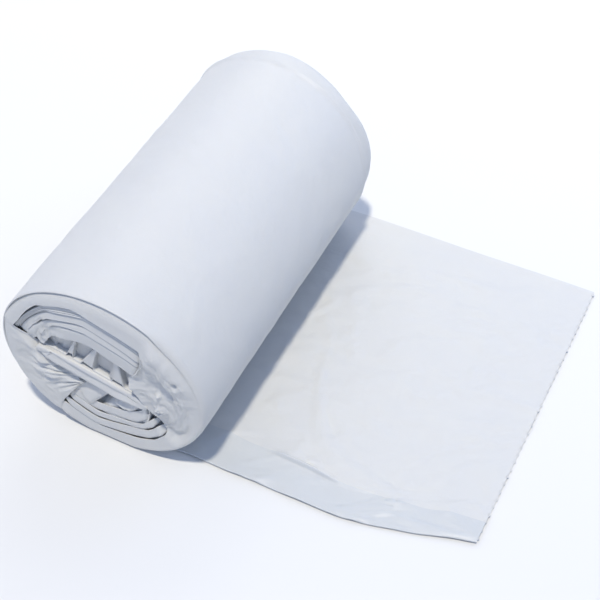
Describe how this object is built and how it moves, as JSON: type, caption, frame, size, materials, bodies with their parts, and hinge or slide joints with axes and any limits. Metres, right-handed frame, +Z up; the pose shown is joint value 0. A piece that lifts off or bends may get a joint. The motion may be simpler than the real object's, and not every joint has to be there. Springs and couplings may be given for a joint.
{
  "type": "bin bag roll",
  "caption": "Coreless roll of folded thin-film bin bags lying on its side, with the first bag drawn out flat as a tail to its torn perforated end.",
  "frame": {"origin": "on the floor, straight below the roll's axis and at the middle of its length", "axes": "+X along the tail to its torn end, +Y along the roll's axis to its neat end, +Z up"},
  "size_m": [0.246, 0.203, 0.1035],
  "materials": {
    "white_film": "satin blown film"
  },
  "bodies": {
    "root": {"bag_roll": "white_film"}
  },
  "joints": []
}
